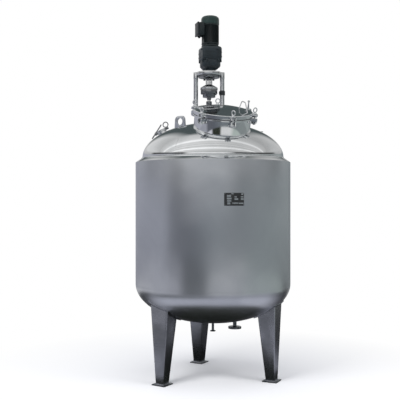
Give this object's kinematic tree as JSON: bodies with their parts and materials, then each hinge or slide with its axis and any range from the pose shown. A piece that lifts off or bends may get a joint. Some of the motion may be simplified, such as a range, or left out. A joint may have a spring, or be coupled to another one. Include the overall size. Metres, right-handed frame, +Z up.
{
  "type": "jacketed mixing tank",
  "caption": "Upright jacketed stainless mixing tank on tapered legs, with dished ends, hinged manhole, top-mounted agitator and gearmotor, lifting eyes, vent and bottom outlets.",
  "frame": {"origin": "On the floor, under the vessel's upright centreline: the bottom centre of the bounding box.", "axes": "+Z is up along the vessel, -Y is the side of the nameplate and the manhole, +X is to the right seen from there."},
  "size_m": [1.364, 1.364, 3.2],
  "materials": {
    "satin_steel": "satin, bluish grey",
    "polished_steel": "mirror polished",
    "turned_steel": "turned, bright",
    "motor_paint": "dark green enamel",
    "gearbox_paint": "slate grey enamel on a casting",
    "lid_paint": "grey enamel",
    "dark_cast": "dark machined casting",
    "seal_rubber": "matt black",
    "plate_black": "black enamel plate with plain light fields"
  },
  "bodies": {
    "tank": {"jacket_shell": "satin_steel", "jacket_head": "satin_steel", "jacket_shoulder": "polished_steel", "vessel_shell": "polished_steel", "vessel_bottom": "polished_steel", "top_head": "polished_steel", "leg_front_left": "satin_steel", "leg_right": "satin_steel", "leg_rear": "satin_steel", "foot_plate_front_left": "satin_steel", "foot_plate_right": "satin_steel", "foot_plate_rear": "satin_steel", "manhole_neck": "polished_steel", "manhole_flange": "polished_steel", "manhole_gasket": "seal_rubber", "hinge_pin": "turned_steel", "swing_bolt_1": "turned_steel", "swing_bolt_2": "turned_steel", "swing_bolt_3": "turned_steel", "swing_bolt_4": "turned_steel", "swing_bolt_5": "turned_steel", "drive_neck": "polished_steel", "drive_flange": "turned_steel", "shaft_seal": "dark_cast", "stand_post_left": "turned_steel", "stand_post_right": "turned_steel", "stand_top_plate": "turned_steel", "gearbox": "gearbox_paint", "motor": "motor_paint", "fan_cowl": "motor_paint", "terminal_box": "motor_paint", "terminal_lid": "lid_paint", "lifting_eye_left": "satin_steel", "lifting_eye_right": "satin_steel", "port_neck": "polished_steel", "port_cap": "turned_steel", "port_clamp_uphill": "dark_cast", "port_clamp_downhill": "dark_cast", "vent_nozzle": "polished_steel", "drain_nozzle": "polished_steel", "outlet_nozzle": "polished_steel", "nameplate": "plate_black"},
    "cover": {"manhole_cover": "polished_steel", "cover_hinge_arm": "polished_steel", "cover_handle": "turned_steel"},
    "agitator": {"agitator_shaft": "turned_steel", "coupling_lower_half": "dark_cast", "coupling_upper_half": "turned_steel", "impeller": "polished_steel"}
  },
  "joints": [
    {"name": "manhole_hinge", "type": "hinge", "parent": "tank", "child": "cover", "pos_m": [0.30217, -0.18548, 2.32754], "axis": [-0.6242, 0.7319, 0.2733], "range_deg": [0, 100]},
    {"name": "agitator_spin", "type": "hinge", "parent": "tank", "child": "agitator", "pos_m": [-0.033, 0.09, 2.5], "axis": [0, 0, 1], "continuous": true}
  ]
}
